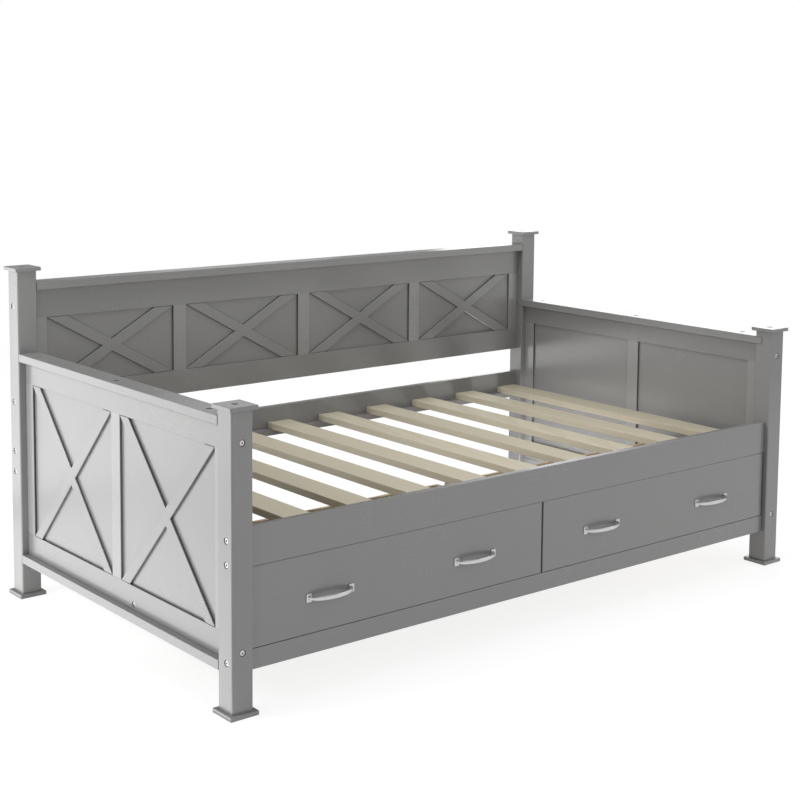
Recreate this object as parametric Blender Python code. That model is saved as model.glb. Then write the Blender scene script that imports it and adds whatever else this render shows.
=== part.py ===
"""Storage daybed: a painted wooden bed with a panelled back and sides, a slatted deck and two drawers.

The bed stands on the floor at z = 0 with its length along X and its front towards -Y. It is built as it
comes out of its boxes: four posts, two panelled sides and a panelled back between them, rails and ledgers
that carry ten slats, and two drawers that slide on wooden runners under the slats.
All sizes are in metres.
"""

import math

import bmesh
import bpy
from mathutils import Vector

for old in list(bpy.data.objects):
    bpy.data.objects.remove(old, do_unlink=True)

# Overall sizes, over the outer faces of the posts and up to the tops of their caps
bed_length = 2.020
bed_depth = 1.140
front_post_height = 0.734
back_post_height = 0.949

# The space left between two pieces that touch or rest on each other
joint_gap = 0.0003

# Posts, with a square cap on top and a square plate underneath
post_width = 0.059
post_edge_radius = 0.004
post_edge_steps = 3
cap_overhang = 0.0095
cap_thickness = 0.0105
foot_overhang = 0.010
foot_thickness = 0.011

# The eased edges of every board
board_edge = 0.0012
board_edge_steps = 2

# The stack of the bed's front, from the floor up
base_height = 0.102
base_rail_height = 0.050
drawer_bottom_gap = 0.0013
drawer_front_height = 0.1957
drawer_top_gap = 0.0005
rail_height = 0.0945

# Rails, set back from the outer faces of the posts
rail_recess = 0.014
rail_thickness = 0.020

# Slatted deck
slat_count = 10
slat_width = 0.082
slat_thickness = 0.020
slat_end_margin = 0.010
deck_drop = 0.049
ledger_height = 0.020
ledger_depth = 0.020

# Panelled frames: a glued frame round a thin panel in a groove, with crosses laid on one face
frame_thickness = 0.020
panel_thickness = 0.006
groove_depth = 0.008
cross_width = 0.032
edge_stile_width = 0.042
middle_stile_width = 0.045

# Sides
side_recess = 0.020
side_drop = 0.028
side_field_count = 2
side_top_rail = 0.061
side_bottom_rail = 0.062
side_base_thickness = 0.024
side_cap_thickness = 0.023
side_cap_lip = 0.003
side_cap_lip_end_gap = 0.001

# Back
back_drop = 0.044
back_opening = 0.0815
back_field_count = 4
back_top_rail_share = 0.233
back_bottom_rail_share = 0.208
back_cap_thickness = 0.023

# Drawers
drawer_end_gap = 0.005
drawer_middle_gap = 0.006
drawer_front_thickness = 0.018
drawer_front_edge = 0.0015
wall_thickness = 0.012
wall_headroom = 0.040
wall_lift = 0.0117
wall_inset = 0.011
wall_rear_clearance = 0.046
bottom_thickness = 0.006
bottom_lift = 0.010
bottom_groove = 0.006

# Beam and runners that carry the drawers
beam_setback = 0.485
beam_height = 0.050
beam_lift = 0.0115
runner_height = 0.035
runner_bearing = 0.030
runner_guide_height = 0.014
runner_side_clearance = 0.001
runner_post_clearance = 0.0008

# Bow handles
handle_centres = 0.128
handle_place_shares = (0.2425, 0.7425)
handle_drop = 0.0094
handle_reach = 0.0275
handle_bar_height = 0.012
handle_bar_thickness = 0.005
handle_neck_height = 0.0075
handle_neck_length = 0.018
handle_fillet = 0.0012
handle_foot_height = 0.021
handle_foot_width = 0.016
handle_foot_thickness = 0.0025
handle_foot_power = 10.0
handle_bow_power = 1.9
handle_section_power = 3.0
handle_steps = 24
handle_section_points = 12

# Places that follow from the sizes. The whole outline, handles included, is centred on the origin in Y.
handle_front = handle_reach + handle_bar_thickness / 2 - rail_recess
centre_shift = (max(handle_front, foot_overhang) - foot_overhang) / 2
x_outer = bed_length / 2
x_inner = x_outer - post_width
y_front = centre_shift - bed_depth / 2
y_back = centre_shift + bed_depth / 2
y_front_inner = y_front + post_width
y_back_inner = y_back - post_width
y_middle = (y_front + y_back) / 2

front_rail_face = y_front + rail_recess
front_rail_back = front_rail_face + rail_thickness
back_rail_back = y_back - rail_recess
back_rail_face = back_rail_back - rail_thickness

base_rail_top = base_height + base_rail_height
drawer_bottom = base_rail_top + drawer_bottom_gap
drawer_top = drawer_bottom + drawer_front_height
rail_bottom = drawer_top + drawer_top_gap
rail_top = rail_bottom + rail_height
deck_top = rail_top - deck_drop
deck_bottom = deck_top - slat_thickness
ledger_top = deck_bottom - joint_gap
ledger_bottom = ledger_top - ledger_height

side_top = front_post_height - side_drop
back_top = back_post_height - back_drop

walls_bottom = drawer_bottom + wall_lift
wall_height = ledger_bottom - wall_headroom - walls_bottom
beam_bottom = base_height + beam_lift
beam_front = y_front + beam_setback - rail_thickness / 2
runner_top = walls_bottom - joint_gap


def finish(name, colour, roughness, metallic=0.0):
    """A plain finish with one colour."""
    material = bpy.data.materials.new(name)
    material.use_nodes = True
    shader = material.node_tree.nodes["Principled BSDF"]
    shader.inputs["Base Color"].default_value = (*colour, 1.0)
    shader.inputs["Roughness"].default_value = roughness
    shader.inputs["Metallic"].default_value = metallic
    return material


grey_paint = finish("grey_paint", (0.29, 0.29, 0.28), 0.5)
pale_wood = finish("pale_wood", (0.55, 0.47, 0.34), 0.6)
bright_nickel = finish("bright_nickel", (0.72, 0.71, 0.69), 0.25, 1.0)


def piece(name, body, material, place, parent=None, turn=0.0, smooth=False):
    """Turns a bmesh body, built round its own origin, into a named object at a place in the bed."""
    bmesh.ops.recalc_face_normals(body, faces=body.faces)
    mesh = bpy.data.meshes.new(name)
    body.to_mesh(mesh)
    body.free()
    if smooth:
        mesh.shade_smooth()
        mesh.set_sharp_from_angle(angle=math.radians(40))
    mesh.materials.append(material)
    made = bpy.data.objects.new(name, mesh)
    bpy.context.collection.objects.link(made)
    made.rotation_euler.z = turn
    made.location = Vector(place)
    if parent:
        made.parent = parent
        made.location -= parent.location
    return made


def ease(body, width, steps, chosen=lambda edge: True):
    """Rounds off the sharp outer edges of a body that are chosen."""
    sharp = math.radians(30)
    edges = [e for e in body.edges if e.calc_face_angle_signed(0.0) > sharp and chosen(e)]
    bmesh.ops.bevel(
        body, geom=edges, offset=width, offset_type="OFFSET", segments=steps, profile=0.5, affect="EDGES"
    )


def cells(xs, ys, zs, filled):
    """One body made of those cells of a grid for which filled(i, j, k) is true."""
    body = bmesh.new()
    counts = (len(xs) - 1, len(ys) - 1, len(zs) - 1)
    corners = {}

    def corner(index):
        if index not in corners:
            corners[index] = body.verts.new((xs[index[0]], ys[index[1]], zs[index[2]]))
        return corners[index]

    def is_filled(cell):
        return all(0 <= c < n for c, n in zip(cell, counts)) and filled(*cell)

    for i in range(counts[0]):
        for j in range(counts[1]):
            for k in range(counts[2]):
                if not filled(i, j, k):
                    continue
                for axis in range(3):
                    across, along = (axis + 1) % 3, (axis + 2) % 3
                    for side in (0, 1):
                        neighbour = [i, j, k]
                        neighbour[axis] += 1 if side else -1
                        if is_filled(neighbour):
                            continue
                        loop = []
                        for a, b in ((0, 0), (1, 0), (1, 1), (0, 1)):
                            index = [i, j, k]
                            index[axis] += side
                            index[across] += a
                            index[along] += b
                            loop.append(corner(tuple(index)))
                        body.faces.new(loop if side else loop[::-1])
    body.normal_update()
    return body


def board(name, low, high, material, edge=board_edge, parent=None):
    """A plain board between two opposite corners, with eased edges."""
    low, high = Vector(low), Vector(high)
    half = (high - low) / 2
    body = cells((-half.x, half.x), (-half.y, half.y), (-half.z, half.z), lambda i, j, k: True)
    if edge:
        ease(body, edge, board_edge_steps)
    return piece(name, body, material, (low + high) / 2, parent)


def make_post(end, x, y, height):
    """A square post between its foot plate and its cap."""
    half = post_width / 2
    bottom = foot_thickness + joint_gap
    top = height - cap_thickness - joint_gap
    rise = (top - bottom) / 2
    body = cells((-half, half), (-half, half), (-rise, rise), lambda i, j, k: True)

    def upright(edge):
        return abs(edge.verts[0].co.z - edge.verts[1].co.z) > rise

    ease(body, post_edge_radius, post_edge_steps, upright)
    piece("post_" + end, body, grey_paint, (x, y, (bottom + top) / 2))

    reach = half + foot_overhang
    board("foot_" + end, (x - reach, y - reach, 0.0), (x + reach, y + reach, foot_thickness), grey_paint)
    reach = half + cap_overhang
    board(
        "cap_" + end,
        (x - reach, y - reach, height - cap_thickness),
        (x + reach, y + reach, height),
        grey_paint,
    )


def cross_outline(width, height):
    """The twelve corners of two boards laid corner to corner in a field, their ends cut level."""
    a, b = width / 2, height / 2
    ratio = (cross_width / height) ** 2
    slope_term = 2 * a * ratio
    length_term = cross_width**2 + 4 * a**2 * ratio
    cut = (math.sqrt(slope_term**2 + (1 - ratio) * length_term) - slope_term) / (1 - ratio)
    notch = b * cut / (2 * a - cut)
    quarter = [(0.0, notch), (a - cut, b), (a, b), (cut / 2, 0.0)]
    right = quarter + [(x, -z) for x, z in quarter[2:0:-1]]
    return right + [(-x, -z) for x, z in right]


def panelled_frame(prefix, place, turn, run, height, field_count, top_rail, bottom_rail):
    """A frame with its panel and crosses. The crosses lie on the face that looks along the local -Y."""
    half, face = run / 2, frame_thickness / 2
    slot = panel_thickness / 2 + joint_gap
    middles = field_count - 1
    field = (run - 2 * edge_stile_width - middles * middle_stile_width) / field_count
    pitch = field + middle_stile_width

    starts = [edge_stile_width - half + n * pitch for n in range(field_count)]
    fields = [x for start in starts for x in (start, start + field)]
    xs = [-half, fields[0] - groove_depth, *fields, fields[-1] + groove_depth, half]
    low, high = bottom_rail - height / 2, height / 2 - top_rail
    zs = [-height / 2, low - groove_depth, low, high, high + groove_depth, height / 2]
    ys = [-face, -slot, slot, face]
    last_x, last_z = len(xs) - 2, len(zs) - 2

    def filled(i, j, k):
        if i in (0, last_x) or k in (0, last_z):
            return True
        if j == 1:
            return False
        in_field = 1 < i < last_x - 1 and i % 2 == 0
        return not (in_field and k == last_z // 2)

    def on_a_face(edge):
        return all(abs(v.co.y) > slot for v in edge.verts)

    body = cells(xs, ys, zs, filled)
    ease(body, board_edge, board_edge_steps, on_a_face)
    piece(prefix + "_frame", body, grey_paint, place, turn=turn)

    reach = half - edge_stile_width + groove_depth - joint_gap
    foot, head = low - groove_depth + joint_gap, high + groove_depth - joint_gap
    panel = cells(
        (-reach, reach), (-panel_thickness / 2, panel_thickness / 2), (foot, head), lambda i, j, k: True
    )
    piece(prefix + "_panel", panel, grey_paint, place, turn=turn)

    outline = cross_outline(field - 2 * joint_gap, high - low - 2 * joint_gap)
    for n, start in enumerate(starts):
        cross = bmesh.new()
        centre_x, centre_z = start + field / 2, (low + high) / 2
        front = [cross.verts.new((x + centre_x, -face, z + centre_z)) for x, z in outline]
        back = [cross.verts.new((v.co.x, -slot, v.co.z)) for v in front]
        cross.faces.new(front)
        cross.faces.new(back[::-1])
        for m in range(len(front)):
            after = (m + 1) % len(front)
            cross.faces.new((front[m], back[m], back[after], front[after]))
        bmesh.ops.recalc_face_normals(cross, faces=cross.faces)
        ease(cross, board_edge, 1, on_a_face)
        piece(f"{prefix}_cross_{n + 1}", cross, grey_paint, place, turn=turn)


def make_side(prefix, sign):
    """A panelled side between two posts, on a base board and under a cap board."""
    frame_bottom = base_height + side_base_thickness + joint_gap
    frame_top = side_top - side_cap_thickness - joint_gap
    frame_run = y_back_inner - y_front_inner - 2 * joint_gap
    x_middle = x_outer - side_recess - frame_thickness / 2
    panelled_frame(
        prefix,
        (sign * x_middle, y_middle, (frame_bottom + frame_top) / 2),
        sign * math.radians(90),
        frame_run,
        frame_top - frame_bottom,
        side_field_count,
        side_top_rail,
        side_bottom_rail,
    )

    base_inner = x_middle - frame_thickness / 2
    x_low, x_high = sorted((sign * base_inner, sign * x_outer))
    board(
        prefix + "_base",
        (x_low, y_front_inner + joint_gap, base_height),
        (x_high, y_back_inner - joint_gap, base_height + side_base_thickness),
        grey_paint,
    )

    # The cap board fills the space between the posts, and its lip runs on across their inner faces.
    half = frame_run / 2
    lip_run = back_rail_back - frame_thickness - y_back_inner - side_cap_lip_end_gap
    lip_face = x_inner - joint_gap
    xs = sorted(sign * x for x in (x_outer, lip_face, x_inner - side_cap_lip))
    ys = (-half - lip_run, -half, half, half + lip_run)
    lip_cell = 0 if sign > 0 else 1
    cap = cells(
        [x - sign * x_middle for x in xs],
        ys,
        (-side_cap_thickness / 2, side_cap_thickness / 2),
        lambda i, j, k: j == 1 or i == lip_cell,
    )
    ease(cap, board_edge, 1)
    piece(prefix + "_cap", cap, grey_paint, (sign * x_middle, y_middle, side_top - side_cap_thickness / 2))


def make_back():
    """The panelled back between the tall posts, under its cap board."""
    frame_bottom = rail_top + back_opening
    frame_top = back_top - back_cap_thickness - joint_gap
    height = frame_top - frame_bottom
    panelled_frame(
        "back",
        (0.0, back_rail_back - frame_thickness / 2, (frame_bottom + frame_top) / 2),
        0.0,
        2 * (x_inner - joint_gap),
        height,
        back_field_count,
        back_top_rail_share * height,
        back_bottom_rail_share * height,
    )
    reach = x_inner - joint_gap
    board(
        "back_cap",
        (-reach, y_back_inner, back_top - back_cap_thickness),
        (reach, y_back, back_top),
        grey_paint,
    )


def make_rails():
    """The long rails between the posts, the ledgers on them, and the beam behind the drawers."""
    reach = x_inner - joint_gap
    for name, y_low, y_high in (
        ("front_rail", front_rail_face, front_rail_back),
        ("back_rail", back_rail_face, back_rail_back),
    ):
        board(name, (-reach, y_low, rail_bottom), (reach, y_high, rail_top), grey_paint)
    board(
        "front_base_rail",
        (-reach, front_rail_face, base_height),
        (reach, front_rail_back, base_rail_top),
        grey_paint,
    )
    on_front = front_rail_back + joint_gap
    on_back = back_rail_face - joint_gap
    board(
        "front_ledger",
        (-reach, on_front, ledger_bottom),
        (reach, on_front + ledger_depth, ledger_top),
        pale_wood,
    )
    board(
        "back_ledger",
        (-reach, on_back - ledger_depth, ledger_bottom),
        (reach, on_back, ledger_top),
        grey_paint,
    )
    beam_reach = x_outer - side_recess - frame_thickness - joint_gap
    board(
        "drawer_beam",
        (-beam_reach, beam_front, beam_bottom),
        (beam_reach, beam_front + rail_thickness, beam_bottom + beam_height),
        pale_wood,
    )


def make_slats():
    """The deck's boards, from ledger to ledger and evenly spread between the posts."""
    first = slat_end_margin + slat_width / 2 - x_inner
    pitch = -2 * first / (slat_count - 1)
    for n in range(slat_count):
        x = first + n * pitch
        board(
            f"slat_{n + 1:02d}",
            (x - slat_width / 2, front_rail_back + joint_gap, deck_bottom),
            (x + slat_width / 2, back_rail_face - joint_gap, deck_top),
            pale_wood,
        )


def make_runners(inner_wall, outer_wall):
    """Runners from the base rail to the beam, with a guide beside each drawer's walls.

    inner_wall and outer_wall are the distances of a drawer's wall faces from the middle of the bed.
    """
    length = beam_front - front_rail_back - 2 * joint_gap
    y = front_rail_back + joint_gap + length / 2
    half = runner_height / 2
    zs = (-half, half, half + runner_guide_height)
    z = runner_top - half

    guide = inner_wall - runner_side_clearance
    shelf = inner_wall + runner_bearing
    centre = cells(
        (-shelf, -guide, guide, shelf), (-length / 2, length / 2), zs, lambda i, j, k: k == 0 or i == 1
    )
    ease(centre, board_edge, 1)
    piece("runner_centre", centre, pale_wood, (0.0, y, z))

    guide = outer_wall + runner_side_clearance
    far = x_inner - runner_post_clearance
    for name, sign in (("runner_left", -1), ("runner_right", 1)):
        xs = sorted(sign * x for x in (outer_wall - runner_bearing, guide, far))
        guide_cell = 1 if sign > 0 else 0
        middle = (xs[0] + xs[2]) / 2
        runner = cells(
            [x - middle for x in xs],
            (-length / 2, length / 2),
            zs,
            lambda i, j, k: k == 0 or i == guide_cell,
        )
        ease(runner, board_edge, 1)
        piece(name, runner, pale_wood, (middle, y, z))


def make_handle(name, x, y, z, parent):
    """A bow handle: a bar swept along a flat bow, between two square feet on the drawer's front."""
    body = bmesh.new()
    half_span = handle_centres / 2

    def bow(t):
        across = math.copysign(abs(math.cos(t)) ** (2 / handle_bow_power), math.cos(t))
        out = abs(math.sin(t)) ** (2 / handle_bow_power)
        return Vector((half_span * across, -handle_reach * out, 0.0))

    def ring(centre, side, width, height, power):
        corners = []
        for m in range(handle_section_points):
            a = 2 * math.pi * (m + 0.5) / handle_section_points
            c, s = math.cos(a), math.sin(a)
            wide = math.copysign(abs(c) ** (2 / power), c) * width / 2
            tall = math.copysign(abs(s) ** (2 / power), s) * height / 2
            corners.append(body.verts.new(centre + side * wide + Vector((0.0, 0.0, tall))))
        return corners

    def foot(sign):
        """The foot's two outlines and the wider root of the neck on it, from the drawer outwards."""
        side = Vector((sign, 0.0, 0.0))
        back, front = (Vector((sign * half_span, -out, 0.0)) for out in (joint_gap, handle_foot_thickness))
        plate = (side, handle_foot_width, handle_foot_height, handle_foot_power)
        root_width = handle_bar_thickness + 2 * handle_fillet
        root_height = handle_neck_height + 2 * handle_fillet
        root = (side, root_width, root_height, handle_section_power)
        return [ring(back, *plate), ring(front, *plate), ring(front, *root)]

    start = math.asin((handle_foot_thickness / handle_reach) ** (handle_bow_power / 2))
    rings = foot(1)
    for n in range(1, handle_steps):
        u = n / handle_steps
        t = start + (math.pi - 2 * start) * (u + u * u * (3 - 2 * u)) / 2
        step = math.pi / (8 * handle_steps**2)
        along = (bow(t + step) - bow(t - step)).normalized()
        rise = min(-bow(t).y / handle_neck_length, 1.0)
        growth = (handle_bar_height - handle_neck_height) * rise * rise * (3 - 2 * rise)
        side = Vector((-along.y, along.x, 0.0))
        height = handle_neck_height + growth
        rings.append(ring(bow(t), side, handle_bar_thickness, height, handle_section_power))
    rings += foot(-1)[::-1]
    for here, there in zip(rings, rings[1:]):
        for m in range(handle_section_points):
            after = (m + 1) % handle_section_points
            body.faces.new((here[m], here[after], there[after], there[m]))
    body.faces.new(rings[0][::-1])
    body.faces.new(rings[-1])
    piece(name, body, bright_nickel, (x, y, z), parent, smooth=True)


def make_drawer(prefix, sign, front_low, front_high):
    """A drawer: its front, its three glued walls, its bottom in their groove, and two handles."""
    face = front_rail_face
    back_of_front = face + drawer_front_thickness
    middle = sign * (front_low + front_high) / 2
    half_width = (front_high - front_low) / 2

    carrier = bpy.data.objects.new(prefix + "_slide", None)
    bpy.context.collection.objects.link(carrier)
    carrier.location = (middle, face, (drawer_bottom + drawer_top) / 2)

    board(
        prefix + "_front",
        (middle - half_width, face, drawer_bottom),
        (middle + half_width, back_of_front, drawer_top),
        grey_paint,
        drawer_front_edge,
        carrier,
    )

    outside = half_width - wall_inset
    inside = outside - wall_thickness
    y_start = back_of_front + joint_gap
    y_end = beam_front - wall_rear_clearance
    depth = y_end - y_start
    rear = depth - wall_thickness
    slot_low, slot_high = bottom_lift - joint_gap, bottom_lift + bottom_thickness + joint_gap
    xs = (-outside, -inside - bottom_groove, -inside, inside, inside + bottom_groove, outside)
    ys = (0.0, rear, rear + bottom_groove, depth)
    zs = (0.0, slot_low, slot_high, wall_height)

    def filled(i, j, k):
        if k == 1:
            return i in (0, 4) or j == 2
        return i in (0, 1, 3, 4) or j in (1, 2)

    def clear_of_groove(edge):
        ends = [v.co for v in edge.verts]
        return all(co.z < slot_low / 2 or co.z > wall_height - slot_low / 2 for co in ends)

    walls = cells(xs, ys, zs, filled)
    ease(walls, board_edge, 1, clear_of_groove)
    piece(prefix + "_walls", walls, pale_wood, (middle, y_start, walls_bottom), carrier)

    bottom_reach = inside + bottom_groove - joint_gap
    bottom_z = walls_bottom + bottom_lift
    board(
        prefix + "_bottom",
        (middle - bottom_reach, y_start, bottom_z),
        (middle + bottom_reach, y_start + rear + bottom_groove - joint_gap, bottom_z + bottom_thickness),
        pale_wood,
        0.0,
        carrier,
    )

    handle_z = (drawer_bottom + drawer_top) / 2 - handle_drop
    for n, share in enumerate(handle_place_shares):
        x = middle - half_width + 2 * half_width * share
        make_handle(f"{prefix}_handle_{n + 1}", x, face, handle_z, carrier)


front_y = y_front + post_width / 2
back_y = y_back - post_width / 2
post_x = x_outer - post_width / 2
make_post("front_left", -post_x, front_y, front_post_height)
make_post("front_right", post_x, front_y, front_post_height)
make_post("back_left", -post_x, back_y, back_post_height)
make_post("back_right", post_x, back_y, back_post_height)

make_side("left_side", -1)
make_side("right_side", 1)
make_back()
make_rails()
make_slats()

drawer_inner_end = drawer_middle_gap / 2
drawer_outer_end = x_inner - drawer_end_gap
make_drawer("left_drawer", -1, drawer_inner_end, drawer_outer_end)
make_drawer("right_drawer", 1, drawer_inner_end, drawer_outer_end)
make_runners(drawer_inner_end + wall_inset, drawer_outer_end - wall_inset)
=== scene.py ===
import math

import bmesh
import bpy
from mathutils import Matrix, Vector


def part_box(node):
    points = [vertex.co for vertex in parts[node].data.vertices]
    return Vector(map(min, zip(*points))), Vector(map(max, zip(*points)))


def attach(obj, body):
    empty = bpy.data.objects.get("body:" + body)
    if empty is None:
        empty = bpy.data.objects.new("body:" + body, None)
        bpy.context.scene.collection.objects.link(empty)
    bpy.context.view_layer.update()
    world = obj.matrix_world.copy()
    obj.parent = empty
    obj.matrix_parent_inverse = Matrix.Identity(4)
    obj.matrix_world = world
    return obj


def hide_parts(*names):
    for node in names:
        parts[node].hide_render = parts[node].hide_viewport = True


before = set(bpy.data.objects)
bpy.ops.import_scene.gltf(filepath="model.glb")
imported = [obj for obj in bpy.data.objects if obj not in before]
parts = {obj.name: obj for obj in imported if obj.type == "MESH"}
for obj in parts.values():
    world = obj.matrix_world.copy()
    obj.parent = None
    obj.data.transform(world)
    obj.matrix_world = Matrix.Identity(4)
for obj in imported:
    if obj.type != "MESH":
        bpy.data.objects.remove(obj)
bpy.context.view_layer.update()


# Painted boards. Pine and board wood, sprayed with a satin grey lacquer after it was cut and sanded.
# The lacquer lies thin, so the grain still runs faintly along each board, and a light orange peel and
# soft patches from the spraying break up its sheen.
thin_grey = (0.205, 0.205, 0.203, 1)
full_grey = (0.238, 0.238, 0.236, 1)
joint_grey = (0.06, 0.06, 0.055, 1)
joint_cover = 0.85
fibre_scale = (5, 150, 150)
patch_scale = 3.5
peel_scale = 420
paint_specular = 0.75
paint_relief = 0.0004


def socket(group, name, kind, value=None, output=False):
    """A named input or output of a shader group."""
    made = group.interface.new_socket(
        name=name, in_out="OUTPUT" if output else "INPUT", socket_type="NodeSocket" + kind
    )
    if value is not None:
        made.default_value = value


def surface_group(name):
    """A shader group that takes a place along a board and gives a colour, a roughness and a height."""
    group = bpy.data.node_groups.new(name, "ShaderNodeTree")
    socket(group, "Along", "Vector")
    for result, kind in (("Color", "Color"), ("Roughness", "Float"), ("Height", "Float")):
        socket(group, result, kind, output=True)
    return group


def give_back(group, **results):
    """Links what a shader group has worked out to its outputs."""
    end = group.nodes.new("NodeGroupOutput")
    for name, value in results.items():
        group.links.new(value, end.inputs[name])


def add(tree, kind, settings=None, **links):
    """A shader node with its settings, and its inputs by name or number from a value or a socket."""
    node = tree.nodes.new("ShaderNode" + kind)
    for name, value in (settings or {}).items():
        setattr(node, name, value)
    for name, value in links.items():
        key = int(name[1:]) if name[0] == "i" and name[1:].isdigit() else name.replace("_", " ")
        if isinstance(value, bpy.types.NodeSocket):
            tree.links.new(value, node.inputs[key])
        else:
            node.inputs[key].default_value = value
    return node


def maths(tree, operation, *values):
    """One step of arithmetic in a shader."""
    links = {f"i{n}": value for n, value in enumerate(values)}
    return add(tree, "Math", {"operation": operation}, **links).outputs[0]


def sum_of(tree, base, *terms):
    """A base plus the product of each pair of terms."""
    for pattern, share in terms:
        base = maths(tree, "MULTIPLY_ADD", pattern, share, base)
    return base


def scaled(tree, value, factor):
    """A colour or a vector times a factor."""
    return add(tree, "VectorMath", {"operation": "SCALE"}, i0=value, Scale=factor).outputs[0]


def noise(tree, vector, scale, detail, roughness=0.5):
    """The value of a noise pattern. A scale for each axis draws it out along the axis of the lowest."""
    if isinstance(scale, tuple):
        vector = add(tree, "Mapping", Vector=vector, Scale=scale).outputs[0]
        scale = 1.0
    made = add(tree, "TexNoise", Vector=vector, Scale=scale, Detail=detail, Roughness=roughness)
    return made.outputs["Fac"]


def blend_colours(tree, share, first, second):
    """A colour between two others."""
    return add(tree, "Mix", {"data_type": "RGBA"}, i0=share, i6=first, i7=second).outputs[2]


lacquer = surface_group("Lacquer over wood")
socket(lacquer, "Seam", "Float", 0.0)
# A factor on the tone that carries painted highlight and painted shade; at one it leaves the tone as it
# is.
socket(lacquer, "Lift", "Float", 1.0)
given = lacquer.nodes.new("NodeGroupInput").outputs
grain = noise(lacquer, given["Along"], fibre_scale, 5.0, 0.6)
patches = noise(lacquer, given["Along"], patch_scale, 3.0)
peel = noise(lacquer, given["Along"], peel_scale, 2.0)
share = sum_of(lacquer, 0.0, (grain, 0.5), (patches, 0.5))
# The tone is scaled by the painted highlight and shade that the frames and crosses give.
tone = scaled(lacquer, blend_colours(lacquer, share, thin_grey, full_grey), given["Lift"])
in_joint = maths(lacquer, "MULTIPLY", given["Seam"], joint_cover)
give_back(
    lacquer,
    Color=blend_colours(lacquer, in_joint, tone, joint_grey),
    Roughness=sum_of(lacquer, 0.17, (patches, 0.12), (peel, 0.05)),
    Height=sum_of(lacquer, 0.0, (grain, 0.45), (peel, 0.25), (given["Seam"], -1.5)),
)


def new_finish(name):
    """A new material, its shader nodes, its main shader and the piece's own coordinates."""
    material = bpy.data.materials.new(name)
    material.use_nodes = True
    tree = material.node_tree
    coordinates = tree.nodes.new("ShaderNodeTexCoord").outputs["Object"]
    return material, tree, tree.nodes["Principled BSDF"], coordinates


def dress(tree, shader, surface, strength, distance):
    """Gives a shader a surface's colour and roughness, and its height as relief."""
    relief = add(tree, "Bump", Strength=strength, Distance=distance, Height=surface["Height"])
    tree.links.new(surface["Color"], shader.inputs["Base Color"])
    tree.links.new(surface["Roughness"], shader.inputs["Roughness"])
    tree.links.new(relief.outputs[0], shader.inputs["Normal"])


def satin_paint(name, place):
    """The grey lacquer. place(tree, coordinates) gives the place along a board, its seams, and the
    painted highlight and shade on it.
    """
    material, tree, shader, coordinates = new_finish(name)
    shader.inputs["Specular IOR Level"].default_value = paint_specular
    coat = add(tree, "Group", {"node_tree": lacquer})
    for given_to, value in zip(("Along", "Seam", "Lift"), place(tree, coordinates)):
        tree.links.new(value, coat.inputs[given_to])
    dress(tree, shader, coat.outputs, strength=0.5, distance=paint_relief)
    return material


def turned(tree, coordinates, axis):
    """The piece's coordinates with the board's own length along X."""
    angles = {"x": (0, 0, 0), "y": (0, 0, -math.pi / 2), "z": (0, math.pi / 2, 0)}
    return add(tree, "Mapping", Vector=coordinates, Rotation=angles[axis]).outputs[0]


def board_paint(axis):
    """The paint of plain boards whose grain runs along an axis."""
    return satin_paint(
        "paint_along_" + axis, lambda tree, coordinates: [turned(tree, coordinates, axis)]
    )


def give_finish(node, material):
    """Gives a CAD node its real finish."""
    parts[node].material_slots[0].material = material


paint_along = {axis: board_paint(axis) for axis in "xyz"}
ends = ("front_left", "front_right", "back_left", "back_right")
for axis, names in {
    "x": [
        "front_rail", "back_rail", "front_base_rail", "back_ledger", "back_cap",
        "left_drawer_front", "right_drawer_front",
        *("foot_" + end for end in ends),
    ],
    "y": ["left_side_base", "right_side_base"],
    "z": ["left_side_panel", "right_side_panel", "back_panel"],
}.items():
    for name in names:
        give_finish(name, paint_along[axis])


# Frames of the sides and the back. Upright stiles stand between a top and a bottom rail, glued before
# painting, so the grain turns at each joint, and a hairline shows at the stiles' feet. The stiles carry
# a painted highlight, a paler tone for the light they catch, and the cut edges carry a darker painted
# shade.
panel_tongue = 0.0077
joint_width = 0.0009
edge_margin = 0.0006
# Painted shade: the cut edges between a board's faces are darkened to this share of the tone.
edge_shade_tone = 0.5
# Painted highlight: the stiles' faces are lightened by this factor, for the light they catch.
stile_highlight_tone = 1.18


def ranged(tree, value, start, end, first, last):
    """A number that goes from first to last as a value goes from start to end, and no further."""
    return add(tree, "MapRange", i0=value, i1=start, i2=end, i3=first, i4=last).outputs[0]


def either(tree, choice, first, second):
    """The first vector where a choice is zero, and the second where it is one."""
    return add(tree, "Mix", {"data_type": "VECTOR"}, i0=choice, i4=first, i5=second).outputs[1]


def away_from(tree, value, middle):
    """How far a value is from a middle, to either side."""
    return maths(tree, "ABSOLUTE", maths(tree, "SUBTRACT", value, middle))


def joint_line(tree, distance):
    """One on the line of a joint, falling to nothing at its width."""
    return ranged(tree, maths(tree, "ABSOLUTE", distance), 0.0, joint_width, 1.0, 0.0)


def painted_edge_shade(tree, through, middle, thickness):
    """Painted shade: one on a board's faces, and less on the cut edges between them, where shade falls.
    """
    off_middle = away_from(tree, through, middle)
    is_edge = maths(tree, "LESS_THAN", off_middle, thickness / 2 - edge_margin)
    return sum_of(tree, 1.0, (is_edge, edge_shade_tone - 1.0))


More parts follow.
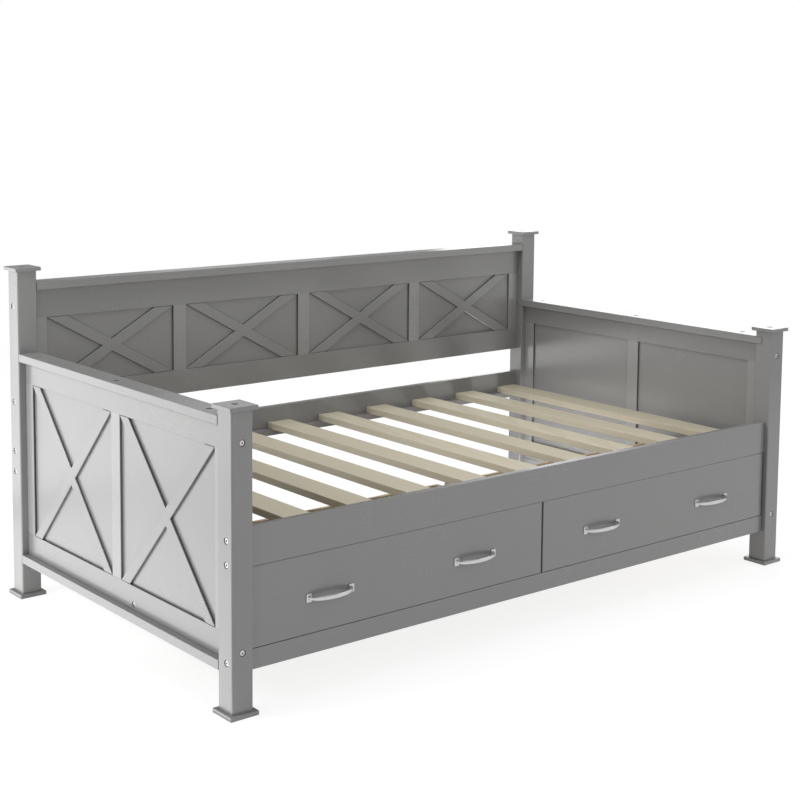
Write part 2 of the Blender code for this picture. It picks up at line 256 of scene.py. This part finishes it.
def frame_place(node, panel, rail_axis, through_axis, seam_share):
    """Where a frame's rails and stiles lie, from its own box and from its panel's."""
    low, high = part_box(node)
    panel_low, panel_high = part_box(panel)
    rail_top, rail_bottom = panel_high.z - panel_tongue, panel_low.z + panel_tongue
    axis = "XYZ".index(through_axis)
    thickness = high[axis] - low[axis]
    from_origin = abs(high[axis] + low[axis]) / 2

    def place(tree, coordinates):
        split = add(tree, "SeparateXYZ", Vector=coordinates).outputs
        off_middle = away_from(tree, split["Z"], (rail_top + rail_bottom) / 2)
        on_rail = maths(tree, "GREATER_THAN", off_middle, (rail_top - rail_bottom) / 2)
        upright, level = turned(tree, coordinates, "z"), turned(tree, coordinates, rail_axis)
        seam = joint_line(tree, maths(tree, "SUBTRACT", split["Z"], rail_bottom))
        through = maths(tree, "ABSOLUTE", split[through_axis])
        # Painted shade on the frame's cut edges.
        edge_shade = painted_edge_shade(tree, through, from_origin, thickness)
        # Painted highlight on the stiles' faces, and none on the rails.
        stile_highlight = sum_of(tree, stile_highlight_tone, (on_rail, 1.0 - stile_highlight_tone))
        return (
            either(tree, on_rail, upright, level),
            maths(tree, "MULTIPLY", seam, seam_share),
            maths(tree, "MULTIPLY", edge_shade, stile_highlight),
        )

    return place


side_frame_paint = satin_paint(
    "paint_side_frame", frame_place("left_side_frame", "left_side_panel", "y", "X", seam_share=1.0)
)
back_frame_paint = satin_paint(
    "paint_back_frame", frame_place("back_frame", "back_panel", "x", "Y", seam_share=0.2)
)
give_finish("left_side_frame", side_frame_paint)
give_finish("right_side_frame", side_frame_paint)
give_finish("back_frame", back_frame_paint)


# Crosses. Flat boards laid from corner to corner of each field: one runs through, and the other is cut
# in two and butted against it, flush, so that only the two ends of the cut show as hairlines.
cross_half_width = 0.016
butt_reach = 2.4 * cross_half_width
butt_seam = 0.3
through_log, butted_log = 0.3, 0.9
butted_shift = 0.7


def cross_place(node, is_side):
    """The through board of a cross leans up to the right, as its own side is looked at."""
    low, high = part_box(node)
    centre = (low + high) / 2
    size = high - low
    width, thickness, through_axis = (size.y, size.x, "X") if is_side else (size.x, size.y, "Y")
    lean = math.atan2(size.z, width)
    rise, run = math.sin(lean), math.cos(lean)

    def place(tree, coordinates):
        local = add(tree, "VectorMath", {"operation": "SUBTRACT"}, i0=coordinates, i1=centre).outputs[0]
        split = add(tree, "SeparateXYZ", Vector=local).outputs
        across, upward = split["X"], split["Z"]
        if is_side:
            across = maths(tree, "MULTIPLY", split["Y"], 1.0 if centre.x > 0 else -1.0)
        along = sum_of(tree, 0.0, (across, run), (upward, rise))
        aside = sum_of(tree, 0.0, (across, rise), (upward, -run))
        butted_along = sum_of(tree, 0.0, (across, run), (upward, -rise))
        butted_aside = maths(tree, "ADD", along, butted_shift)
        to_edge = maths(tree, "SUBTRACT", maths(tree, "ABSOLUTE", aside), cross_half_width)
        is_butted = maths(tree, "GREATER_THAN", to_edge, 0.0)
        first = add(tree, "CombineXYZ", X=along, Y=aside, Z=through_log).outputs[0]
        second = add(tree, "CombineXYZ", X=butted_along, Y=butted_aside, Z=butted_log).outputs[0]
        at_butt = maths(tree, "LESS_THAN", maths(tree, "ABSOLUTE", along), butt_reach)
        seam = maths(tree, "MULTIPLY", joint_line(tree, to_edge), at_butt)
        return (
            either(tree, is_butted, first, second),
            maths(tree, "MULTIPLY", seam, butt_seam),
            # Painted shade on the cut edges of the cross boards.
            painted_edge_shade(tree, split[through_axis], 0.0, thickness),
        )

    return place


for prefix, count in (("left_side", 2), ("right_side", 2), ("back", 4)):
    for number in range(1, count + 1):
        node = f"{prefix}_cross_{number}"
        give_finish(node, satin_paint("paint_" + node, cross_place(node, prefix != "back")))


# Posts, post caps, and the cap boards and frames of the sides. Each is drilled with shallow
# counterbores, in which the heads of the bolts and screws sit. The posts' long edges are rounded over.
counterbore_radius = 0.0085
counterbore_depth = 0.004
round_sides = 32
weld_distance = 0.00002
rail_bolt_heights = {"front": (0.129, 0.362, 0.419), "back": (0.363, 0.422, 0.564, 0.837)}
side_bolt_heights = (0.154, 0.648)
cap_screw_x = 0.983
cap_screw_pitch = 0.437


def deselect():
    """Leaves edit mode, and selects nothing."""
    if bpy.context.mode != "OBJECT":
        bpy.ops.object.mode_set(mode="OBJECT")
    bpy.ops.object.select_all(action="DESELECT")


def only(piece):
    """Makes a piece the only selected one, and the active one."""
    deselect()
    piece.select_set(True)
    bpy.context.view_layer.objects.active = piece


def new_piece(name, mesh):
    """A piece with its own copy of a mesh."""
    piece = bpy.data.objects.new(name, mesh.copy())
    bpy.context.collection.objects.link(piece)
    return piece


def facing(normal):
    """The turn that points an object's own Z along a normal."""
    return Vector(normal).to_track_quat("Z", "Y").to_euler()


def carve(piece, cutter):
    """Cuts a closed shape out of a piece, and takes that shape away."""
    only(piece)
    cut = piece.modifiers.new("cut", "BOOLEAN")
    cut.object = cutter
    cut.solver = "EXACT"
    bpy.ops.object.modifier_apply(modifier=cut.name)
    bpy.data.objects.remove(cutter, do_unlink=True)


def drill(node, holes, material, name):
    """Makes a copy of a node with a counterbore at each (place, normal), which stands for the node."""
    piece = new_piece(name, parts[node].data)
    only(piece)
    bpy.ops.object.mode_set(mode="EDIT")
    bpy.ops.mesh.select_all(action="SELECT")
    bpy.ops.mesh.remove_doubles(threshold=weld_distance)
    bpy.ops.mesh.tris_convert_to_quads()
    bpy.ops.object.mode_set(mode="OBJECT")
    for place, normal in holes:
        deselect()
        bpy.ops.mesh.primitive_cylinder_add(
            vertices=round_sides,
            radius=counterbore_radius,
            depth=2 * counterbore_depth,
            location=place,
            rotation=facing(normal),
        )
        carve(piece, bpy.context.object)
    only(piece)
    bpy.ops.object.shade_smooth_by_angle(angle=math.radians(40))
    flat = piece.modifiers.new("flat_faces", "WEIGHTED_NORMAL")
    flat.keep_sharp = True
    flat.weight = 100
    bpy.ops.object.modifier_apply(modifier=flat.name)
    piece.data.materials.clear()
    piece.data.materials.append(material)
    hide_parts(node)
    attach(piece, "frame")


bolt_places = []
for end in ends:
    row = end.split("_")[0]
    low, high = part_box("post_" + end)
    middle = (low + high) / 2
    rail_low, rail_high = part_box(row + "_rail")
    rail_y = (rail_low.y + rail_high.y) / 2
    x_face, x_normal = (high.x, 1) if middle.x > 0 else (low.x, -1)
    y_face, y_normal = (low.y, -1) if row == "front" else (high.y, 1)
    holes = [((x_face, rail_y, z), (x_normal, 0, 0)) for z in rail_bolt_heights[row]]
    holes += [((middle.x, y_face, z), (0, y_normal, 0)) for z in side_bolt_heights]
    drill("post_" + end, holes, paint_along["z"], end + "_post")
    cap_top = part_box("cap_" + end)[1].z
    cap_hole = [((middle.x, middle.y, cap_top), (0, 0, 1))]
    drill("cap_" + end, cap_hole, paint_along["x"], end + "_post_cap")
    bolt_places += holes + cap_hole

beam_low, beam_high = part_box("drawer_beam")
beam = (beam_low + beam_high) / 2
for side, outward in (("left_side", -1), ("right_side", 1)):
    low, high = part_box(side + "_cap")
    middle_y = (low.y + high.y) / 2
    screw_ys = (middle_y - cap_screw_pitch, middle_y, middle_y + cap_screw_pitch)
    cap_holes = [((outward * cap_screw_x, y, high.z), (0, 0, 1)) for y in screw_ys]
    drill(side + "_cap", cap_holes, paint_along["y"], side + "_cap_board")
    low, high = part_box(side + "_frame")
    x_face = high.x if outward > 0 else low.x
    frame_hole = [((x_face, beam.y, beam.z), (outward, 0, 0))]
    drill(side + "_frame", frame_hole, side_frame_paint, side + "_panel_frame")
    bolt_places += cap_holes + frame_hole


# Bolts and screws. Flat zinc-plated heads with a hexagon socket, driven to a little below the painted
# face. One head is shaped, and each counterbore gets a copy.
head_radius = 0.0067
head_depth = 0.0027
head_edge = 0.0006
socket_radius = 0.0034
socket_depth = 0.0025
crystal_scale = 900
plating_relief = 0.0001

zinc, tree, shader, coordinates = new_finish("zinc_plate")
shader.inputs["Metallic"].default_value = 1.0
crystals = noise(tree, coordinates, crystal_scale, 3.0)
zinc_surface = {
    "Color": blend_colours(tree, crystals, (0.42, 0.42, 0.42, 1), (0.58, 0.58, 0.57, 1)),
    "Roughness": sum_of(tree, 0.22, (crystals, 0.2)),
    "Height": crystals,
}
dress(tree, shader, zinc_surface, strength=0.4, distance=plating_relief)

deselect()
bpy.ops.mesh.primitive_cylinder_add(vertices=round_sides, radius=head_radius, depth=head_depth)
head = bpy.context.object
bpy.ops.object.mode_set(mode="EDIT")
bpy.ops.mesh.select_all(action="DESELECT")
body = bmesh.from_edit_mesh(head.data)
for edge in body.edges:
    edge.select = all(v.co.z > 0 for v in edge.verts)
bmesh.update_edit_mesh(head.data)
bpy.ops.mesh.bevel(offset=head_edge, segments=3)
deselect()
bpy.ops.mesh.primitive_cylinder_add(
    vertices=6, radius=socket_radius, depth=2 * socket_depth, location=(0, 0, head_depth / 2)
)
carve(head, bpy.context.object)
bpy.ops.object.shade_smooth_by_angle(angle=math.radians(35))
head.data.materials.append(zinc)


def rest_in_place(piece):
    """Puts a piece's place and turn into its mesh."""
    only(piece)
    bpy.ops.object.transform_apply(location=True, rotation=True, scale=True)


for number, (place, normal) in enumerate(bolt_places, 1):
    bolt = new_piece(f"bolt_{number:02d}", head.data)
    bolt.rotation_euler = facing(normal)
    bolt.location = Vector(place) - Vector(normal) * (counterbore_depth - head_depth / 2)
    rest_in_place(bolt)
    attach(bolt, "frame")
bpy.data.objects.remove(head, do_unlink=True)


# Slats, and the bare wood under them: planed pine boards with growth rings along their length. No two
# slats come from the same part of a log, so each has rings and a tone of its own.
early_wood = (0.61, 0.56, 0.445, 1)
late_wood = (0.495, 0.445, 0.325, 1)
log_spread = 0.9
pith_depth = 0.35
ring_wander = 0.05
ring_tilt = 0.02
ring_pace = 1500.0
pine_relief = 0.0004

pine = surface_group("Planed pine")
socket(pine, "Piece", "Float", 0.0)
socket(pine, "Early", "Color", early_wood)
socket(pine, "Late", "Color", late_wood)
given = pine.nodes.new("NodeGroupInput").outputs
chance = add(pine, "TexWhiteNoise", {"noise_dimensions": "1D"}, W=given["Piece"]).outputs
own = scaled(pine, chance["Color"], log_spread)
placed = add(pine, "VectorMath", {"operation": "ADD"}, i0=given["Along"], i1=own).outputs[0]
split = add(pine, "SeparateXYZ", Vector=placed).outputs
wander = noise(pine, placed, (1.3, 9, 9), 3.0)
across = sum_of(pine, split["Y"], (wander, ring_wander))
depth = maths(pine, "SUBTRACT", sum_of(pine, split["Z"], (split["X"], ring_tilt)), pith_depth)
radius = maths(pine, "SQRT", sum_of(pine, 0.0, (across, across), (depth, depth)))
waves = maths(pine, "SINE", maths(pine, "MULTIPLY", radius, ring_pace))
rings = ranged(pine, waves, -0.6, 1.0, 0.0, 1.0)
fine = noise(pine, placed, (9, 420, 420), 4.0, 0.6)
clouds = noise(pine, placed, (1.2, 6, 6), 2.0)
share = sum_of(pine, 0.0, (rings, 0.34), (fine, 0.34), (clouds, 0.40))
tone = blend_colours(pine, share, given["Early"], given["Late"])
give_back(
    pine,
    Color=scaled(pine, tone, sum_of(pine, 0.95, (chance["Value"], 0.10))),
    Roughness=sum_of(pine, 0.50, (fine, 0.18)),
    Height=sum_of(pine, fine, (rings, 0.4)),
)


def bare_pine(name, axis, pitch_axis, pitch, early=early_wood, late=late_wood):
    """Bare pine with its grain along an axis, and from another log at each pitch along pitch_axis."""
    material, tree, shader, coordinates = new_finish(name)
    place = add(tree, "SeparateXYZ", Vector=coordinates).outputs[pitch_axis]
    number = maths(tree, "FLOOR", maths(tree, "DIVIDE", place, pitch))
    along = turned(tree, coordinates, axis)
    wood = add(tree, "Group", {"node_tree": pine}, Along=along, Piece=number, Early=early, Late=late)
    dress(tree, shader, wood.outputs, strength=0.6, distance=pine_relief)
    return material


slat_pine = bare_pine("slat_pine", "y", "X", pitch=0.2)
for name in parts:
    if name.startswith("slat_"):
        give_finish(name, slat_pine)
frame_pine = bare_pine("frame_pine_x", "x", "Y", pitch=0.3)
for name in ("front_ledger", "drawer_beam"):
    give_finish(name, frame_pine)
runner_pine = bare_pine("frame_pine_y", "y", "X", pitch=0.5)
for name in ("runner_left", "runner_centre", "runner_right"):
    give_finish(name, runner_pine)


# Drawer boxes. Two sides and a rear wall of bare pine, a little darker than the slats, glued up round a
# thin plywood bottom that sits in a groove.
wall_early, wall_late = (0.60, 0.47, 0.305, 1), (0.48, 0.36, 0.22, 1)
ply_early, ply_late = (0.56, 0.45, 0.31, 1), (0.47, 0.36, 0.23, 1)
box_pitch = 0.9
wall_pine = bare_pine("drawer_pine", "x", "X", box_pitch, wall_early, wall_late)
bottom_ply = bare_pine("drawer_plywood", "y", "X", box_pitch, ply_early, ply_late)
for side in ("left_drawer", "right_drawer"):
    give_finish(side + "_walls", wall_pine)
    give_finish(side + "_bottom", bottom_ply)


# Handles. Bow pulls cast in one piece and plated with satin nickel. The flat bar springs from two
# oblong feet that lie on the drawer's front, where screws from inside hold them.
bow_half_span = 0.064
bow_reach = 0.027
bow_power = 1.9
bar_height, bar_thickness, bar_power = 0.012, 0.006, 2.4
neck_height = 0.0075
neck_length = 0.018
fillet = 0.0012
foot_height, foot_width, foot_thickness, foot_power = 0.021, 0.016, 0.0025, 10.0
foot_edge = 0.0004
foot_ease = 0.3 * foot_edge
foot_gap = 0.0003
bow_steps = 60
root_steps = 2
section_points = 28
sort_along = Vector((1, 2, 3))

nickel, tree, shader, coordinates = new_finish("satin_nickel")
shader.inputs["Metallic"].default_value = 1.0
brushing = noise(tree, coordinates, (60, 900, 900), 3.0)
smears = noise(tree, coordinates, 60, 2.0)
nickel_surface = {
    "Color": blend_colours(tree, smears, (0.46, 0.455, 0.45, 1), (0.53, 0.525, 0.52, 1)),
    "Roughness": sum_of(tree, 0.22, (smears, 0.10), (brushing, 0.08)),
    "Height": brushing,
}
dress(tree, shader, nickel_surface, strength=0.2, distance=plating_relief)


def smooth(share):
    """A share from 0 to 1 that starts and ends gently."""
    share = min(max(share, 0.0), 1.0)
    return share * share * (3 - 2 * share)


def swell(part, power):
    """A sine or cosine on an oval: power 2 makes an ellipse, and a higher one a squarer oval."""
    return math.copysign(abs(part) ** (2 / power), part)


def bow(t):
    """A point on the line of the bow, from one foot at 0 to the other at pi."""
    across = bow_half_span * swell(math.cos(t), bow_power)
    return Vector((across, -bow_reach * swell(math.sin(t), bow_power), 0.0))


def outline(centre, side, width, height, power):
    """The corners of a rounded oblong that stands upright along a side."""
    for corner in range(section_points):
        angle = 2 * math.pi * (corner + 0.5) / section_points
        wide = swell(math.cos(angle), power) * width / 2
        high = swell(math.sin(angle), power) * height / 2
        yield centre + side * wide + Vector((0.0, 0.0, high))


def foot_outlines(sign):
    """A foot from the drawer outwards: its back, its eased front edge and the root of the neck."""
    side = Vector((sign, 0.0, 0.0))
    for out, inset in (
        (foot_gap, 0.0),
        (foot_thickness - foot_edge, 0.0),
        (foot_thickness - foot_ease, foot_ease),
        (foot_thickness, foot_edge),
    ):
        centre = Vector((sign * bow_half_span, -out, 0.0))
        yield list(outline(centre, side, foot_width - 2 * inset, foot_height - 2 * inset, foot_power))
    root_width, root_height = bar_thickness + 2 * fillet, neck_height + 2 * fillet
    yield list(outline(centre, side, root_width, root_height, bar_power))


def bar_outline(step):
    """The bar's section at a step along the bow. It is lowest where it springs from a foot."""
    u = step / bow_steps
    start = math.asin((foot_thickness / bow_reach) ** (bow_power / 2))
    t = start + (math.pi - 2 * start) * (u + smooth(u)) / 2
    nudge = math.pi / (8 * bow_steps**2)
    along = (bow(t + nudge) - bow(t - nudge)).normalized()
    out = -bow(t).y
    root = fillet * (1 - smooth((out - foot_thickness) / (4 * fillet)))
    height = neck_height + (bar_height - neck_height) * smooth(out / neck_length)
    side = Vector((-along.y, along.x, 0.0))
    return list(outline(bow(t), side, bar_thickness + root, height + 2 * root, bar_power))


outlines = [*foot_outlines(1)]
outlines += [bar_outline(step) for step in range(root_steps, bow_steps + 1 - root_steps)]
outlines += reversed([*foot_outlines(-1)])
deselect()
bpy.ops.mesh.primitive_circle_add(vertices=section_points, radius=foot_width / 2, fill_type="NGON")
pull = bpy.context.object
bpy.ops.object.mode_set(mode="EDIT")
for number, corners in enumerate(outlines):
    if number:
        bpy.ops.mesh.extrude_region_move()
    body = bmesh.from_edit_mesh(pull.data)
    ring = sorted(v.index for v in body.verts if v.select)
    body.verts.ensure_lookup_table()
    for index, corner in zip(ring, corners):
        body.verts[index].co = corner
    bmesh.update_edit_mesh(pull.data)
bpy.ops.mesh.select_all(action="SELECT")
bpy.ops.mesh.normals_make_consistent(inside=False)
# Extruding leaves the faces in another order at each run, so they are put in order along a slant.
body = bmesh.from_edit_mesh(pull.data)
body.faces.sort(key=lambda face: face.calc_center_median().dot(sort_along))
bmesh.update_edit_mesh(pull.data)
bpy.ops.object.mode_set(mode="OBJECT")
bpy.ops.object.shade_smooth_by_angle(angle=math.radians(50))
pull.data.materials.append(nickel)

for side in ("left_drawer", "right_drawer"):
    for number in (1, 2):
        node = f"{side}_handle_{number}"
        low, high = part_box(node)
        handle = new_piece(f"{side}_pull_{number}", pull.data)
        handle.location = ((low.x + high.x) / 2, high.y + foot_gap, (low.z + high.z) / 2)
        rest_in_place(handle)
        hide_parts(node)
        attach(handle, side)
bpy.data.objects.remove(pull, do_unlink=True)


# Camera, at the photograph's place: a long lens at chest height, off the bed's front left corner.
# A little shift keeps the posts as upright as the photograph has them.
camera_place = (-2.8913, -3.4189, 1.4434)
yaw, pitch, roll = (math.radians(a) for a in (37.8761, 6.1021, 0.3036))
bpy.ops.object.camera_add()
camera = bpy.context.object
camera.data.lens = 69.082
camera.data.sensor_width = 36.0
camera.data.shift_x, camera.data.shift_y = 0.0625, -0.18
camera.matrix_world = (
    Matrix.Translation(camera_place)
    @ Matrix.Rotation(-yaw, 4, "Z")
    @ Matrix.Rotation(math.pi / 2 - pitch, 4, "X")
    @ Matrix.Rotation(roll, 4, "Z")
)
bpy.context.scene.camera = camera
bpy.context.scene.view_settings.view_transform = "Standard"


# Studio. A pale floor fades into a white surround. Most of the light comes up from the left, from
# panels that lie on the floor, with soft lamps beside, above and in front of the bed, and some at the
# rear that make the tops shine. In gloss the surround darkens upwards, as under a dark ceiling.
white = (1, 1, 1, 1)
ambient_light = 0.45
horizon, ceiling_height = 0.05, 0.28
horizon_gloss, ceiling_gloss = 0.5, 0.1
matt_floor = (0.5, 0.5, 0.5, 1)
shadow_floor = (0.22, 0.22, 0.22, 1)
floor_glow, floor_gloss = 0.84, 0.15
floor_reach, fade_start = 5.0, 3.0


def light_path(tree, ray):
    """One for the rays of a kind."""
    return tree.nodes.new("ShaderNodeLightPath").outputs[f"Is {ray} Ray"]


def seen_directly(tree):
    """One for the rays that show the surround itself: from the camera, in gloss and through glass."""
    shown = maths(tree, "MAXIMUM", light_path(tree, "Camera"), light_path(tree, "Glossy"))
    return maths(tree, "MAXIMUM", shown, light_path(tree, "Transmission"))


surround = bpy.data.worlds.new("surround")
bpy.context.scene.world = surround
surround.use_nodes = True
tree = surround.node_tree
ambient = tree.nodes["Background"]
ambient.inputs["Color"].default_value = white
ambient.inputs["Strength"].default_value = ambient_light
upwards = add(tree, "SeparateXYZ", Vector=tree.nodes.new("ShaderNodeTexCoord").outputs["Generated"])
in_gloss = ranged(tree, upwards.outputs["Z"], horizon, ceiling_height, horizon_gloss, ceiling_gloss)
shown = maths(tree, "MAXIMUM", in_gloss, light_path(tree, "Camera"))
backdrop = add(tree, "Background", Color=white, Strength=shown)
choice = add(tree, "MixShader", i0=seen_directly(tree), i1=ambient.outputs[0], i2=backdrop.outputs[0])
tree.links.new(choice.outputs[0], tree.nodes["World Output"].inputs["Surface"])

bpy.ops.mesh.primitive_circle_add(vertices=64, radius=floor_reach, fill_type="NGON")
floor = bpy.context.object
floor.name = "studio_floor"
pale = bpy.data.materials.new("studio_floor")
pale.use_nodes = True
tree = pale.node_tree
tree.nodes.clear()
matt = add(tree, "BsdfDiffuse", Color=matt_floor)
shadowed = add(tree, "BsdfDiffuse", Color=shadow_floor)
strength = sum_of(tree, floor_glow, (light_path(tree, "Glossy"), floor_gloss))
glow = add(tree, "Emission", Color=white, Strength=strength)
lit = add(tree, "AddShader", i0=shadowed.outputs[0], i1=glow.outputs[0])
seen = add(tree, "MixShader", i0=seen_directly(tree), i1=matt.outputs[0], i2=lit.outputs[0])
coordinates = tree.nodes.new("ShaderNodeTexCoord").outputs["Object"]
reach = add(tree, "VectorMath", {"operation": "LENGTH"}, i0=coordinates).outputs["Value"]
fade = ranged(tree, reach, fade_start, floor_reach, 0.0, 1.0)
clear = tree.nodes.new("ShaderNodeBsdfTransparent")
whole = add(tree, "MixShader", i0=fade, i1=seen.outputs[0], i2=clear.outputs[0])
out = tree.nodes.new("ShaderNodeOutputMaterial")
tree.links.new(whole.outputs[0], out.inputs["Surface"])
floor.data.materials.append(pale)

# Each lamp's place, the point that it faces, its size and its watts.
lamps = {
    "lamp_left": ((-3.6, 0.7, 1.9), (0.0, 0.0, 0.5), (1.4, 1.2), 65.0),
    "lamp_left_rear": ((-3.0, 3.0, 0.5), (-0.9, 0.4, 0.4), (2.0, 0.8), 15.0),
    "lamp_right_rear": ((4.0, 2.8, 1.35), (0.6, 0.0, 0.6), (2.2, 1.3), 20.0),
    "lamp_right_high": ((4.0, 2.6, 2.6), (0.4, -0.2, 0.5), (2.2, 1.2), 28.0),
    "lamp_front_right": ((3.3, -3.1, 1.4), (0.3, 0.0, 0.5), (2.4, 2.0), 24.5),
    "lamp_front": ((0.2, -2.9, 1.12), (0.0, -0.5, 0.3), (3.4, 2.2), 13.0),
    "lamp_overhead": ((0.0, 0.0, 3.4), (0.0, 0.0, 0.3), (3.0, 2.0), 45.0),
    "lamp_rear": ((1.35, 2.9, 1.62), (-0.9, -0.5, 0.73), (0.9, 0.5), 1.15),
    "panel_left_near": ((-1.36, 0.34, 0.002), (-1.36, 0.34, 1.0), (0.67, 1.92), 5.6),
    "panel_left": ((-2.6, 0.5, 0.002), (-2.6, 0.5, 1.0), (1.8, 2.0), 11.0),
    "panel_left_rear": ((-2.5, 2.8, 0.002), (-2.5, 2.8, 1.0), (3.0, 2.6), 42.0),
    "panel_under": ((0.83, 0.16, 0.002), (0.83, 0.16, 1.0), (0.22, 0.62), 3.0),
    "card_front_left": ((-3.2, -1.6, 0.7), (-0.5, -0.57, 0.25), (0.5, 0.5), 3.6),
}
for name, (place, target, size, watts) in lamps.items():
    direction = Vector(target) - Vector(place)
    turn = direction.to_track_quat("-Z", "Y").to_euler()
    bpy.ops.object.light_add(type="AREA", location=place, rotation=turn)
    lamp = bpy.context.object
    lamp.name = name
    lamp.data.shape = "RECTANGLE"
    lamp.data.size, lamp.data.size_y = size
    lamp.data.energy = watts
    lamp.visible_camera = False
